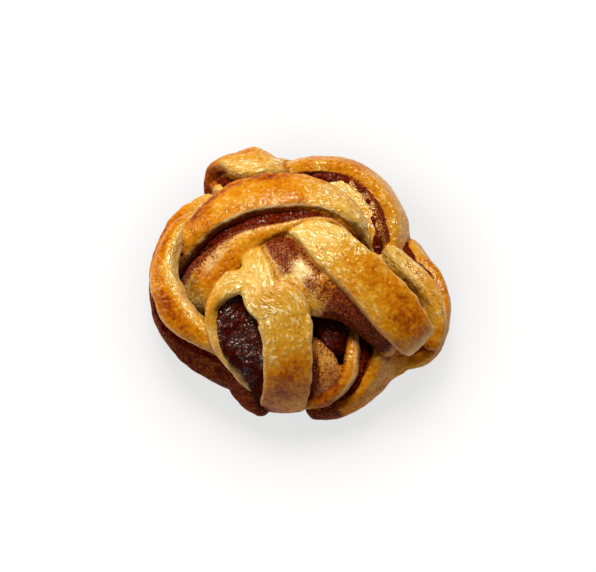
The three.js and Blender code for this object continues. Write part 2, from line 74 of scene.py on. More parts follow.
# A row is one place along a band: x, y, z of its middle, its width, its tilt in degrees, and how browned
# it is there, from 0, pale stretched dough, to 1, the darkest crust.
DOUGH = {
    # the band that arches over the back, the layer under it and the one in front of it
    "arc_top": dict(thick=4.5, crown=1.3, foot=False, path=[
        (-42.5, 1.5, 18, 5, -23, 0.5), (-38.5, 7.2, 29, 8, -32, 0.6), (-30, 14.8, 35.5, 12.5, -24, 0.62),
        (-18.5, 20.5, 38.5, 16, -20, 0.56), (-5, 22.3, 40, 16, -17, 0.58), (8, 21, 39, 14, -12, 0.36),
        (19, 14.5, 36, 8, -12, 0.22), (23.5, 8, 25.5, 2, -43, 0.25)]),
    "arc_lining": dict(thick=4.5, crown=0.8, foot=True, path=[
        (-38, 3, 18, 6, -23, 0.4), (-35, 9, 26, 9, -32, 0.3), (-27.5, 15, 30.5, 13, -24, 0.35),
        (-17, 20, 33, 16.5, -20, 0.5), (-5, 22, 34, 16.5, -17, 0.5), (7, 20.6, 33.5, 14.5, -12, 0.5),
        (17.5, 14, 31, 9, -12, 0.45)]),
    "arc_front": dict(thick=4.5, crown=1.0, foot=False, path=[
        (-38, -10.5, 22, 12, -34, 0.45), (-30, -7, 31.8, 18.5, -19, 0.45), (-19.8, 2, 40.3, 10, -17, 0.45),
        (-5.5, 6.5, 44.5, 4.5, -25, 0.45), (9.5, 10, 42, 3.5, -33, 0.45), (20.5, 8, 31, 2.5, -74, 0.4)]),
    # the band that crosses the top to the right, and the layers under it
    "diagonal_top": dict(thick=4.5, crown=0.9, foot=False, path=[
        (-4.5, 7.5, 37.5, 6, 30, 0.12), (2, 5, 45.5, 9, 5, 0.1), (10, -1, 48, 15, -9, 0.15),
        (18, -8, 47, 16, -11, 0.32), (25.5, -15, 44, 17, -12, 0.5), (32.5, -21.5, 39.5, 17.5, -16, 0.6),
        (38, -27, 33.5, 15.5, -17, 0.65), (42.3, -27.7, 26, 12.5, -20, 0.55)]),
    "diagonal_lining": dict(thick=4.5, crown=0.8, foot=True, path=[
        (3, 4.5, 38, 8, 5, 0.4), (11, -1, 41.5, 13, -9, 0.4), (18, -7, 41, 14, -11, 0.45),
        (24.5, -13, 38, 15, -12, 0.5), (30.5, -19, 33.5, 15, -16, 0.5), (36, -25, 26, 13, -17, 0.5)]),
    "diagonal_front": dict(thick=4.5, crown=1.5, foot=True, path=[
        (-10.5, 6, 38, 9, 12, 0.25), (-3.6, -5, 43.3, 17, 2, 0.4), (4.8, -15.2, 42, 16, -4, 0.35),
        (16.5, -20.5, 38, 10, -42, 0.5), (26, -26, 31, 9, -60, 0.6), (33, -30, 22, 5, -70, 0.6)]),
    # the strap that comes down the front, with the collar that folds round the eye of filling
    "strap": dict(thick=4.5, crown=0.9, foot=True, path=[
        (-14.5, 2.5, 38.5, 3, 10, 0.15), (-14.3, -7.5, 43.3, 10.5, 8, 0.2), (-12.8, -14.5, 44.3, 12, 8, 0.2),
        (-11.4, -18.8, 44, 14, 8, 0.22), (-5.3, -22.8, 42.8, 18, 8, 0.22), (-3.5, -33, 37, 17, 5, 0.4),
        (-3.5, -42, 28, 16.5, 2, 0.6), (-5, -46, 16.5, 16, 4, 0.75), (-6.5, -43.5, 3, 13.5, 7, 0.8)]),
    "eye_collar": dict(thick=3.6, crown=0.8, foot=False, path=[
        (-9, -13.5, 43.2, 5, 2, 0.15), (-15.5, -13.2, 43.8, 7, -2, 0.15), (-22.5, -13.6, 42.8, 8.6, -9, 0.22),
        (-28.8, -20, 37.3, 4.2, 0, 0.4), (-27, -31, 31.5, 3.5, -22, 0.4), (-20.5, -38, 25.5, 2.5, -25, 0.35),
        (-14.5, -42, 16.5, 1.5, 9, 0.35)]),
    "eye_foot": dict(thick=5, crown=1, foot=False, path=[
        (-21.5, -33.5, 11.5, 11, 35, 0.6), (-19, -39.5, 12, 10, 30, 0.6), (-15, -44.5, 11, 7.5, 30, 0.6),
        (-10, -47.5, 9, 5, 25, 0.6)]),
    # the left side: an arc of crust, the open layer under it, and the wall that stands on the tray
    "left_top": dict(thick=5.5, crown=1.8, foot=False, path=[
        (-34.5, 20.5, 23, 4, 62, 0.25), (-42.5, 10, 30, 6.5, 38, 0.55), (-46, -4, 31.5, 9, 33, 0.62),
        (-42, -18, 30.5, 11.5, 38, 0.65), (-31, -27.5, 28, 7.5, 34, 0.5), (-18.5, -32, 21.5, 4, 30, 0.4)]),
    "left_under": dict(thick=5, crown=0.5, foot=False, path=[
        (-29.5, 30.5, 16, 8.5, 80, 0.2), (-43, 18.5, 18, 9, 60, 0.7), (-47.5, 0.5, 17, 11.5, 48, 0.7),
        (-44, -17.5, 16.5, 12.5, 44, 0.7), (-31, -30.5, 14.5, 12.5, 49, 0.7), (-14, -36.5, 12, 6, 40, 0.6)]),
    "left_wall": dict(thick=5, crown=1.5, foot=False, path=[
        (-29, 33, 8, 13, -5, 0.5), (-42, 21.5, 8, 14, -8, 0.6), (-47, 4, 7.5, 13, -12, 0.7),
        (-44.5, -15, 7, 12, -15, 0.7), (-34, -28.5, 6.5, 11, -15, 0.7), (-20, -36.5, 6, 10, -15, 0.7),
        (-10, -41, 5.5, 10, -10, 0.7)]),
    # the knob at the back left, where the end of the strip is folded over
    "knob_top": dict(thick=4, crown=1.3, foot=True, path=[
        (-5, 38.5, 22, 6.5, 53, 0.25), (-10.5, 40, 24, 11, 45, 0.35), (-16, 41, 24.8, 15.5, 44, 0.4),
        (-21.5, 41, 24.5, 12, 40, 0.45), (-26.5, 42, 22.8, 5.5, 34, 0.6), (-30.5, 41.8, 18, 3.5, 42, 0.8),
        (-32, 39, 10.5, 4, 47, 0.85), (-31.7, 35, 4, 3, 50, 0.85)]),
    "knob_under": dict(thick=3.5, crown=0.8, foot=False, path=[
        (-24.5, 31, 18, 5, 75, 0.15), (-28.5, 34.5, 15, 6, 68, 0.15), (-30, 36.5, 10.5, 5, 65, 0.2),
        (-30, 34, 5, 4, 65, 0.3)]),
    "knob_wall": dict(thick=4.5, crown=2, foot=False, path=[
        (2, 42.5, 10, 18, 0, 0.5), (-9, 44, 11, 20, 0, 0.55), (-18, 44, 11, 20, 0, 0.6),
        (-26, 41, 9.5, 17, 0, 0.65), (-30.5, 35, 8, 13, 0, 0.8)]),
    # the lobe at the back right
    "back_outer": dict(thick=4.5, crown=1.8, foot=False, path=[
        (-6, 40.5, 17, 14, -10, 0.25), (7, 42, 21, 17, -12, 0.45), (20, 39.5, 21.5, 17, -12, 0.54),
        (29.5, 31.5, 21, 17, -9, 0.56), (35.5, 19.5, 19.5, 16, -8, 0.5), (33.5, 6, 17, 13, -14, 0.4)]),
    "back_inner": dict(thick=9.5, crown=0.5, foot=False, path=[
        (1.3, 36, 14, 15.5, -1, 0.2), (11.4, 35.6, 16, 19.5, 4, 0.05), (19.1, 30.3, 17, 22, 8, 0.05),
        (24.3, 23, 17, 22.5, 11, 0.15), (26.4, 14.2, 16.5, 21.5, 15, 0.4), (27, 6, 13, 13, 2, 0.4)]),
    "back_wall": dict(thick=5, crown=1.8, foot=False, path=[
        (-6, 41.5, 7, 13, -6, 0.6), (7, 43, 8, 14, -6, 0.65), (20.5, 40.5, 8, 14, -6, 0.65),
        (30.5, 32.5, 8, 14, -6, 0.65), (36.5, 20, 7.5, 14, -6, 0.65), (35.5, 8, 7, 13, -10, 0.6)]),
    # the lobe at the right
    "right_outer": dict(thick=4, crown=1.5, foot=False, path=[
        (41, 15, 9, 13, -14, 0.5), (45, 7, 11.5, 19.5, -18, 0.5), (49.5, -1, 12.5, 20.5, -2, 0.5),
        (51, -10, 12, 20.5, 4, 0.52), (49.5, -19.5, 11, 18, 6, 0.5), (45, -26.5, 8.5, 12, 1, 0.48),
        (36.5, -28, 6, 8, -12, 0.5)]),
    "right_inner": dict(thick=5.5, crown=1.5, foot=False, path=[
        (31.5, 6.5, 23, 5.5, -63, 0.15), (37.5, -1.5, 28, 6.5, -36, 0.25), (44.5, -9.5, 28, 7, -32, 0.35),
        (48, -19.5, 24, 4.5, -14, 0.45), (45, -27.5, 17.5, 3.5, -11, 0.55)]),
    # the lobe at the front right, with the fold of bare dough inside it
    "front_inner": dict(thick=4.5, crown=1.2, foot=False, path=[
        (18, -16, 22.5, 3.5, -74, 0.6), (19, -27.5, 25.5, 4.5, -62, 0.68), (17.5, -38.5, 23, 6.5, -57, 0.7),
        (10.5, -45, 17, 5, -54, 0.7), (0.5, -46, 11, 3, -59, 0.5)]),
    "front_outer": dict(thick=4.5, crown=2, foot=False, path=[
        (31.5, -23, 13, 25, -23, 0.5), (29.5, -32.5, 13, 22.5, -3, 0.55), (22.5, -41, 10.5, 17, 5, 0.6),
        (13.5, -45.5, 8, 12, 4, 0.7), (3, -45.5, 6, 8.5, 11, 0.75)]),
    "front_fold": dict(thick=4.5, crown=0.6, foot=False, path=[
        (3, -26, 26, 3, 1, 0.65), (7, -33, 25.5, 11, -8, 0.62), (7.8, -39.5, 21.5, 12.8, -23, 0.65),
        (4.5, -43, 15, 5, -8, 0.6)]),
}

# Strokes of colour on a band, each a window: from and to along it as shares of its length, from its left
# to its right edge as -1 to 1 for someone who walks along it with the bun below, from its underside to
# its face as -1 to 1, and a strength. smear is filling that clings to the dough, bake makes the crust
# darker or paler, crumb is the pale cut side of the strip.
STROKE_SIDE = {"crumb": 0.05, "bake": 0.14, "smear": 0.25}   # half the width over which its sides fade
STROKE_END = 0.03                                            # the same for its ends
STROKE_DEPTH = 0.15                                          # the same through the band's thickness
PAINT = {
    "arc_top": dict(bake=[(0.2, 0.75, -1.2, -0.5, -1, 1, 0.25), (0.3, 0.9, 0.2, 0.85, -1, 1, -0.1),
                          (0.05, 1.0, 0.92, 1.2, -1.2, 0.35, 0.2), (0.0, 0.2, -1.2, 0.3, -1, 1.2, -0.1)],
                    # arc_top's crumb stroke is partly the pale cut side and partly a painted highlight along
                    # the rounded top corner.
                    crumb=[(0.08, 1.0, 0.93, 1.2, 0.5, 1.2, 1.0)]),
    "arc_lining": dict(crumb=[(0.1, 0.6, 0.5, 1.2, -0.2, 1, 0.8)],
                       smear=[(0.0, 1.0, 0.6, 1.2, -1.2, 0.0, 0.9)]),
    "arc_front": dict(smear=[(0.03, 1.0, -1.2, -0.6, -1, 1.2, 0.95), (0.08, 0.4, -1.2, -0.2, -1, 1.2, 0.35)],
                      crumb=[(0.25, 0.9, -0.85, -0.3, 0, 1.2, 0.4), (0.2, 0.34, -0.5, -0.1, 0, 1.2, 0.7)],
                      bake=[(0.22, 0.5, 0.1, 0.9, -1, 1.2, 0.14), (0.0, 0.15, -1.2, 1.2, -1, 1.2, -0.2),
                            (0.0, 1.0, 0.85, 1.2, -1, 1.2, 0.1)]),
    "diagonal_top": dict(crumb=[(0.0, 1.0, 0.88, 1.2, -0.3, 1.2, 0.3),
                                (0.3, 1.0, -1.2, -0.93, -0.3, 1.2, 0.5),
                                (0.93, 1.1, -1.2, 1.2, -1, 1.2, 0.6)],
                         bake=[(0.0, 1.0, 0.4, 0.9, 0, 1.2, -0.08), (0.35, 0.9, -0.6, 0.2, 0, 1.2, 0.08)]),
    "diagonal_lining": dict(smear=[(0.0, 0.9, -1.2, 1.2, -1.2, 1.2, 0.55)]),
    "diagonal_front": dict(smear=[(0.03, 0.25, -1.2, 0.5, -1, 1.2, 0.85),
                                  (0.2, 0.29, -0.1, 0.6, -1, 1.2, 0.55),
                                  (0.2, 0.4, -1.2, -0.5, -1, 1.2, 0.8), (0.35, 0.55, -1.2, 0.2, -1, 1.2, 0.5),
                                  (0.5, 0.93, -1.2, 1.2, -1.2, 1.2, 0.85)],
                           bake=[(0.1, 0.5, -0.3, 1.2, 0, 1.2, -0.2)],
                           crumb=[(0.26, 0.37, -0.5, 0.15, 0, 1.2, 1.0)]),
    "strap": dict(crumb=[(0.25, 1.0, -1.2, -0.93, -0.3, 1.2, 0.6), (0.35, 1.0, 0.93, 1.2, -0.3, 1.2, 0.5)],
                  bake=[(0.5, 0.75, -0.6, 0.4, -1, 1.2, 0.1)]),
    "eye_collar": dict(smear=[(0.0, 1.0, -1.2, -0.75, -1.2, -0.3, 1.0)],
                       crumb=[(0.5, 1.0, -1.2, 1.2, 0, 1.2, 0.3)]),
    "eye_foot": dict(smear=[(0.0, 1.0, -1.2, 1.2, -1.2, 1.2, 0.85)]),
    "left_top": dict(bake=[(0.2, 0.75, -0.2, 0.3, 0, 1.2, 0.12), (0.0, 0.85, -1.2, -0.5, -1, 1.2, -0.35),
                           (0.2, 1.0, 0.75, 1.2, -1, 1.2, -0.2)],
                     crumb=[(0.2, 1.0, 0.9, 1.2, -0.6, 1.2, 0.6), (0.0, 0.7, -1.2, -0.8, -1.2, 1.2, 0.5)],
                     smear=[(0.0, 1.0, -1.2, 1.2, -1.2, -0.7, 1.0)]),
    "left_under": dict(smear=[(0.45, 1.0, -1.2, -0.1, -1, 1.2, 0.9), (0.45, 0.95, -0.2, 1.2, -1.2, 1.2, 0.75),
                              (0.12, 0.5, -1.2, 0.0, -1, 1.2, 0.8)]),
    "left_wall": dict(smear=[(0.35, 1.0, -1.2, 0.6, -1, 1.2, 1.0)]),
    "knob_top": dict(bake=[(0.1, 0.7, 0.3, 1.2, -1, 1.2, 0.2), (0.0, 0.5, -1.2, -0.3, -1, 1.2, -0.25)],
                     # knob_top's second smear stroke, where the strip turns down at the bun's left side, is
                     # painted shade.
                     smear=[(0.5, 1.0, -1.2, 1.2, -1.2, -0.3, 1.0), (0.75, 1.0, -1.2, 1.2, -1, 1.2, 0.5)]),
    "back_outer": dict(smear=[(0.0, 1.0, 0.6, 1.2, -1.2, -0.6, 0.8)]),
    "back_inner": dict(smear=[(0.0, 1.0, 0.3, 1.2, 0.65, 1.2, 0.9), (0.0, 1.0, 0.3, 1.2, 0.2, 1.2, 0.3),
                              (0.35, 1.0, 0.3, 1.2, 0.3, 1.2, 0.6),
                              (0.0, 0.2, 0.5, 1.2, -1, 1.2, 0.4)],
                       crumb=[(0.1, 0.4, 0.6, 1.2, -0.6, 0.6, 0.35)]),
    "right_outer": dict(smear=[(0.0, 1.0, 0.6, 1.2, -1.2, -0.5, 0.8)],
                        bake=[(0.2, 1.0, 0.7, 1.2, 0, 1.2, 0.12)]),
    "right_inner": dict(smear=[(0.1, 1.0, -1.2, -0.85, -1, 1.2, 0.6), (0.15, 0.85, 0.1, 0.55, -1, 1.2, 0.4)],
                        crumb=[(0.1, 0.5, 0.6, 1.2, 0.2, 1.2, 0.4)]),
    "front_inner": dict(smear=[(0.0, 1.0, -1.2, 1.2, -1.2, -0.4, 0.8), (0.3, 0.9, -1.2, -0.7, -1, 1.2, 0.4),
                               (0.1, 0.9, 0.4, 1.2, -1, 1.2, 0.55)],
                        crumb=[(0.0, 0.7, -1.2, -0.5, 0, 1.2, 0.5)]),
    "front_outer": dict(smear=[(0.0, 1.0, 0.6, 1.2, -1.2, -0.4, 0.8), (0.0, 0.08, 0.6, 1.2, -1, 1.2, 0.6),
                               (0.72, 1.1, 0.0, 1.2, -1.2, 1.2, 0.9)]),
    "front_fold": dict(smear=[(0.1, 1.1, 0.0, 1.2, -1, 1.2, 0.85), (0.0, 1.1, -1.2, 0.0, -1, 1.2, 0.32),
                              (0.0, 1.1, -1.2, 1.2, -1.2, -0.5, 1.0)],
                       crumb=[(0.0, 1.0, -1.2, 0.0, 0, 1.2, 0.2)]),
}


def spline(rows, count):
    """Points of a smooth curve through the rows: Catmull-Rom, its two ends continued straight."""
    rows = np.asarray(rows, float)
    rows = np.vstack([2 * rows[0] - rows[1], rows, 2 * rows[-1] - rows[-2]])
    place = np.linspace(0, len(rows) - 3, count)
    i = np.minimum(place.astype(int), len(rows) - 4)
    t = (place - i)[:, None]
    a, b, c, d = rows[i], rows[i + 1], rows[i + 2], rows[i + 3]
    return 0.5 * (2 * b + (c - a) * t + (2 * a - 5 * b + 4 * c - d) * t**2 + (3 * b - a - 3 * c + d) * t**3)


def rail(path, count):
    """Even places along a band: middle, direction along, to the right and outward, the rest of the row's
    numbers, and the distance from its start. Outward is away from the heart, turned by the tilt."""
    fine = spline(path, FINE_STEPS)
    run = np.r_[0, np.cumsum(np.linalg.norm(np.diff(fine[:, :3], axis=0), axis=1))]
    distance = np.linspace(0, run[-1], count)
    rows = np.stack([np.interp(distance, run, column) for column in fine.T], 1)
    middle = rows[:, :3]
    along = np.gradient(middle, axis=0)
    along /= np.linalg.norm(along, axis=1)[:, None]
    out = middle - HEART
    out -= np.sum(out * along, 1)[:, None] * along
    out /= np.linalg.norm(out, axis=1)[:, None]
    right = np.cross(along, out)
    turn = np.radians(rows[:, 4])[:, None]
    side = right * np.cos(turn) + out * np.sin(turn)
    face = out * np.cos(turn) - right * np.sin(turn)
    return middle, along, side, face, rows[:, 3:], distance


def rounded_section(flat, arc):
    """Corner and offset of each point round a rectangle with round corners: the point is the corner's
    centre plus the offset times the radius."""
    quarter = np.linspace(0, np.pi / 2, arc)
    top = np.linspace(1, -1, flat)[1:-1]
    corner_x = np.r_[np.ones(arc), top, -np.ones(2 * arc), -top, np.ones(arc)]
    corner_y = np.r_[np.ones(arc), np.ones(flat - 2), np.ones(arc), -np.ones(arc), -np.ones(flat - 2),
                     -np.ones(arc)]
    zero = np.zeros(flat - 2)
    offset_x = np.r_[np.cos(quarter), zero, -np.sin(quarter), -np.cos(quarter), zero, np.sin(quarter)]
    offset_y = np.r_[np.sin(quarter), zero + 1, np.cos(quarter), -np.sin(quarter), zero - 1, -np.cos(quarter)]
    return corner_x, offset_x, corner_y, offset_y


def band_grid(path, thick, crown, count=150, radius=EDGE_RADIUS, flat=14, arc=5):
    """A band's surface: a rounded rectangle carried along the path, its face raised by the crown in the
    middle, and shrunk to a point at both ends along a quarter of an ellipse."""
    middle, _, side, face, shape, distance = rail(path, count)
    end = np.clip(np.minimum(distance, distance[-1] - distance) / END_ROUND, 0, 1)
    close = np.sqrt(1 - (1 - end) ** 2)
    half_width = np.maximum(shape[:, 0], 1) / 2 * (END_NARROW + (1 - END_NARROW) * close) * (close > 0)
    half_thick = thick / 2 * close
    corner = np.minimum(radius, 0.9 * np.minimum(half_width, half_thick))
    corner_x, offset_x, corner_y, offset_y = rounded_section(flat, arc)
    x = corner_x * (half_width - corner)[:, None] + offset_x * corner[:, None]
    y = corner_y * (half_thick - corner)[:, None] + offset_y * corner[:, None]
    across = x / np.maximum(half_width, 1e-6)[:, None]
    up = np.clip(y / np.maximum(half_thick, 1e-6)[:, None], -1, 1)
    y += (crown * close)[:, None] * (1 - across**2) * np.where(up > 0, 1.0, -UNDERSIDE_SAG)
    return middle[:, None] + x[..., None] * side[:, None] + y[..., None] * face[:, None]


def foot_grid(path, thick, count=60):
    """The dough between a band and the tray: four-sided, from under the band's face down to the tray and
    drawn in towards the bun's middle on the way. Its first and last sections close to a point."""
    middle, _, side, face, shape, _ = rail(path, count)
    half = shape[:, :1] / 2 * FOOT_SHARE
    right = middle + side * half - face * thick * FOOT_SINK
    left = middle - side * half - face * thick * FOOT_SINK
    draw = np.array([FOOT_DRAW, FOOT_DRAW, 0])
    sections = np.stack([left, right, right * draw, left * draw], 1)
    tips = sections[[0, -1]].mean(1, keepdims=True) + 0 * sections[[0, -1]]
    return np.concatenate([tips[:1], sections, tips[1:]])


def base_grid(sides=96, layers=24):
    """The lump of dough inside the knot: a squashed ball whose outline passes through BASE_REACH, the
    smooth curve through the reaches with a few repeated at each end so that it closes. Its width falls off
    as a power of the cosine of the climb, and its height follows the sine."""
    reach = np.array(BASE_REACH, float)
    before, after = 2, 3
    ring = np.c_[np.r_[reach[-before:], reach, reach[:after]], np.zeros(before + len(reach) + after)]
    steps = sides // len(reach)
    outline = spline(ring, (len(ring) - 1) * steps + 1)[before * steps:(before + len(reach)) * steps, 0]
    angle = np.linspace(0, 2 * np.pi, sides, endpoint=False)
    climb = np.linspace(-np.pi / 2, np.pi / 2, layers)
    level = np.clip(np.cos(climb), 0, 1) ** BASE_SHOULDER
    rise = np.where(climb > 0, BASE_HEIGHT - BASE_BELLY, BASE_BELLY + BASE_SINK)
    height = BASE_BELLY + rise * np.sin(climb)
    flat = np.stack([outline * np.cos(angle), outline * np.sin(angle)], 1)
    return np.concatenate([flat[None] * level[:, None, None],
                           np.broadcast_to(height[:, None, None], (layers, sides, 1))], 2)


def closed_faces(rows, columns):
    """Corners of the faces of a closed tube of that many sections. Its first and last sections are one
    point each, so that its ends are fans of triangles and the rest is quads."""
    ring = np.arange(columns)
    following = (ring + 1) % columns
    start = 1 + columns * np.arange(rows - 3)[:, None]
    quads = np.stack([start + ring, start + following, start + columns + following, start + columns + ring],
                     -1).reshape(-1, 4)
    last = 1 + columns * (rows - 2)
    first_fan = np.stack([0 * ring, following + 1, ring + 1], 1)
    last_fan = np.stack([0 * ring + last, last - columns + ring, last - columns + following], 1)
    return quads, np.vstack([first_fan, last_fan])


def tube_mesh(name, grids):
    """One mesh of closed tubes, each a grid of points whose first and last rows are a point. A tube whose
    volume, the sum over its faces of each corner times the cross product of the next two, comes out
    negative is inside out, and has its faces turned round."""
    points, quads, fans, count = [], [], [], 0
    for grid in grids:
        rows, columns = grid.shape[:2]
        four, three = closed_faces(rows, columns)
        places = np.vstack([grid[0, :1], grid[1:-1].reshape(-1, 3), grid[-1, :1]])
        corners = places[three]
        facing = np.sum(corners[:, 0] * np.cross(corners[:, 1], corners[:, 2]))
        sides = places[four]
        facing += np.sum(sides[:, 0] * np.cross(sides[:, 1], sides[:, 2]))
        facing += np.sum(sides[:, 0] * np.cross(sides[:, 2], sides[:, 3]))
        if facing < 0:
            four, three = four[:, ::-1], three[:, ::-1]
        points.append(places)
        quads.append(four + count)
        fans.append(three + count)
        count += len(places)
    points = (np.vstack(points) + CENTRE_SHIFT) * MM
    mesh = bpy.data.meshes.new(name)
    mesh.from_pydata(points.tolist(), [], np.vstack(quads).tolist() + np.vstack(fans).tolist())
    mesh.update()
    mesh.shade_smooth()
    return mesh


def points_of(mesh):
    """A mesh's points in the drawing's millimetres."""
    points = np.zeros(len(mesh.vertices) * 3, np.float32)
    mesh.vertices.foreach_get("co", points)
    return points.reshape(-1, 3) / MM - CENTRE_SHIFT


def normals_of(mesh):
    """The direction straight out of the mesh at each point."""
    normals = np.zeros(len(mesh.vertices) * 3, np.float32)
    mesh.vertex_normals.foreach_get("vector", normals)
    return normals.reshape(-1, 3)


def put_points(mesh, points):
    """Moves a mesh's points to these places in the drawing's millimetres."""
    mesh.vertices.foreach_set("co", ((points + CENTRE_SHIFT) * MM).astype(np.float32).ravel())
    mesh.update()


def hashed(cells, seed):
    """A fixed random number from 0 to 1 for each whole-number cell."""
    mixed = np.zeros(cells.shape[:-1], np.uint64)
    for axis, prime in enumerate((73856093, 19349663, 83492791)):
        mixed ^= (cells[..., axis].astype(np.int64) + 4096 * seed).astype(np.uint64) * np.uint64(prime)
    mixed ^= mixed >> np.uint64(13)
    mixed *= np.uint64(0x9E3779B97F4A7C15)
    mixed ^= mixed >> np.uint64(29)
    return (mixed & np.uint64(0xFFFFFF)).astype(np.float64) / 0xFFFFFF


def clouds(places, grain, seed):
    """Soft noise from -1 to 1 with features of that many millimetres: random numbers at the corners of
    cubes, smoothly mixed inside each cube."""
    scaled = np.asarray(places, float) / grain + 500.0
    cell = np.floor(scaled).astype(np.int64)
    inside = scaled - cell
    mix = inside**2 * (3 - 2 * inside)
    total = 0.0
    for corner in np.ndindex(2, 2, 2):
        share = np.prod(np.where(corner, mix, 1 - mix), axis=-1)
        total = total + share * hashed(cell + np.array(corner), seed)
    return 2 * total - 1


def fade(value, low, high):
    """0 up to low, 1 from high on, and a smooth step between them."""
    t = np.clip((value - low) / (high - low), 0, 1)
    return t * t * (3 - 2 * t)


def local_places(points):
    """For every point and band: how far the point is outside the band, its distance along, its place
    across and its height through the thickness, both from -1 to 1 and, as x and depth, in millimetres, and
    how browned the band is there. The nearest of the band's sections counts. Outside is the distance to a
    box round the section with edges rounded by a millimetre."""
    found = {}
    for name, band in DOUGH.items():
        middle, along, side, face, shape, distance = rail(band["path"], NEAR_STEPS)
        gap = (points**2).sum(1)[:, None] - 2 * points @ middle.T + (middle**2).sum(1)[None]
        near = gap.argmin(1)
        away = points - middle[near]
        x = np.sum(away * side[near], 1)
        y = np.sum(away * face[near], 1)
        z = np.sum(away * along[near], 1)
        half = np.maximum(shape[near, 0], 1) / 2
        depth = y
        lift = band["crown"] * np.clip(1 - (x / half) ** 2, 0, 1)
        y = y - np.where(y > 0, lift, -UNDERSIDE_SAG * lift)
        beyond = np.stack([np.abs(x) - half, np.abs(y) - band["thick"] / 2, np.abs(z) - 1.0], 1)
        outside = np.linalg.norm(np.clip(beyond + 1, 0, None), axis=1) - 1 + np.minimum(beyond.max(1) + 1, 0)
        found[name] = dict(outside=outside, along=distance[near] + z, across=x / half, x=x,
                           depth=depth, up=2 * y / band["thick"], bake=shape[near, 2], length=distance[-1])
    return found


def blended(found, values, rest, softness=0.5, rest_gap=0.9):
    """Mixes a value per band by how close each point is to each band: a band's weight falls by a factor
    of e with each softness that it lies further than the nearest. The rest value counts as a band that
    lies rest_gap away, for the dough that belongs to no band."""
    outside = np.stack([place["outside"] for place in found.values()])
    nearest = np.minimum(outside.min(0), rest_gap)
    weight = np.exp(-(outside - nearest) / softness)
    rest_weight = np.exp(-(rest_gap - nearest) / softness)
    total = np.sum(weight * np.stack([values[name] for name in found]), 0) + rest_weight * rest
    return total / (weight.sum(0) + rest_weight)


def painted(name, layer, place):
    """The strongest of a band's strokes of that layer at every point, each with soft sides."""
    total = np.zeros(len(place["along"]))
    share = place["along"] / place["length"]
    soft, end_soft, deep = STROKE_SIDE[layer], STROKE_END, STROKE_DEPTH
    for start, end, left, right, low, high, strength in PAINT.get(name, {}).get(layer, []):
        window = fade(share, start - end_soft, start + end_soft)
        window *= 1 - fade(share, end - end_soft, end + end_soft)
        window *= fade(place["across"], left - soft, left + soft)
        window *= 1 - fade(place["across"], right - soft, right + soft)
        window *= fade(place["up"], low - deep, low + deep)
        window *= 1 - fade(place["up"], high - deep, high + deep)
        total = np.where(np.abs(window * strength) > np.abs(total), window * strength, total)
    return total


def modified(mesh, kind, **settings):
    """The mesh as one modifier with these settings leaves it."""
    holder = bpy.data.objects.new("holder", mesh)
    bpy.context.scene.collection.objects.link(holder)
    modifier = holder.modifiers.new("change", kind)
    for key, value in settings.items():
        setattr(modifier, key, value)
    result = bpy.data.meshes.new_from_object(holder.evaluated_get(bpy.context.evaluated_depsgraph_get()))
    bpy.data.objects.remove(holder)
    bpy.data.meshes.remove(mesh)
    return result


def pulled_smooth(mesh, places, reach, rounds=40):
    """Evens out the skin round some places, as dough that was pulled into one sheet: there every point
    moves to the mean of its neighbours, again and again, and less so towards the reach."""
    points = points_of(mesh)
    gap = np.min([np.linalg.norm(points - place, axis=1) for place in places], axis=0)
    share = (1 - fade(gap, 0.5 * reach, reach))[:, None]
    ends = np.zeros(len(mesh.edges) * 2, np.int32)
    mesh.edges.foreach_get("vertices", ends)
    ends = ends.reshape(-1, 2)
    ends = ends[(share[ends, 0] > 0).any(1)]
    here, there = np.r_[ends[:, 0], ends[:, 1]], np.r_[ends[:, 1], ends[:, 0]]
    count = np.maximum(np.bincount(here, minlength=len(points)), 1)
    for _ in range(rounds):
        mean = np.stack([np.bincount(here, points[there, axis], len(points)) / count for axis in range(3)], 1)
        points += share * (mean - points)
    put_points(mesh, points)


grids = [band_grid(band["path"], band["thick"], band["crown"]) for band in DOUGH.values()]
grids += [foot_grid(band["path"], band["thick"]) for band in DOUGH.values() if band["foot"]]
grids += [base_grid()]
for grid in grids:
    grid[..., 2] = np.maximum(grid[..., 2], 0)
skin = tube_mesh("dough_skin", grids)
skin = modified(skin, "REMESH", mode="VOXEL", voxel_size=SKIN_VOXEL * MM, use_smooth_shade=True)
skin = modified(skin, "SMOOTH", factor=0.5, iterations=2)

# Where the strap and the collar round the eye part, the dough is one sheet, pulled smooth.
PULLED_SHEET = [(-17.5, -9, 46), (-18, -13, 46.5)]
SHEET_REACH = 6.5
pulled_smooth(skin, PULLED_SHEET, SHEET_REACH)

# The relief, in millimetres: lumps of the crumb below, wrinkles along the bands, deepest where the dough
# was pulled thin, fine blisters of the skin, and the waviness of the bands' long edges.
LUMP_HEIGHT = 0.5
WRINKLE_HEIGHT, STRETCHED_MORE = 0.08, 0.22
BLISTER_HEIGHT = 0.11
EDGE_WAVE = 0.35
WRINKLE_LENGTH, WRINKLE_WIDTH, WAVE_LENGTH = 2.6, 0.9, 3.0
points = points_of(skin)
found = local_places(points)
pale = 1 - blended(found, {name: place["bake"] for name, place in found.items()}, LUMP_BAKE)
stretch = {}
for name, place in found.items():
    grain = np.stack([place["along"] / WRINKLE_LENGTH, place["x"] / WRINKLE_WIDTH,
                      place["depth"] / WRINKLE_WIDTH], 1)
    stretch[name] = clouds(grain, 1.0, 5)
wrinkle = blended(found, stretch, 0.0)
lump = 0.6 * clouds(points, 11, 1) + 0.3 * clouds(points, 5, 2)   # large ones, and smaller and lower ones
blister = clouds(points, 1.7, 3) + clouds(points, 3.0, 9)
waves = {name: fade(np.abs(place["across"]), 0.75, 1.0) * clouds(
    np.stack([place["along"] / WAVE_LENGTH, 5 * np.sign(place["across"]), 0 * place["along"]], 1), 1.0, 8)
    for name, place in found.items()}
wrinkled = WRINKLE_HEIGHT + STRETCHED_MORE * fade(pale, 0.5, 0.85)
relief = LUMP_HEIGHT * lump + wrinkled * wrinkle + BLISTER_HEIGHT * blister
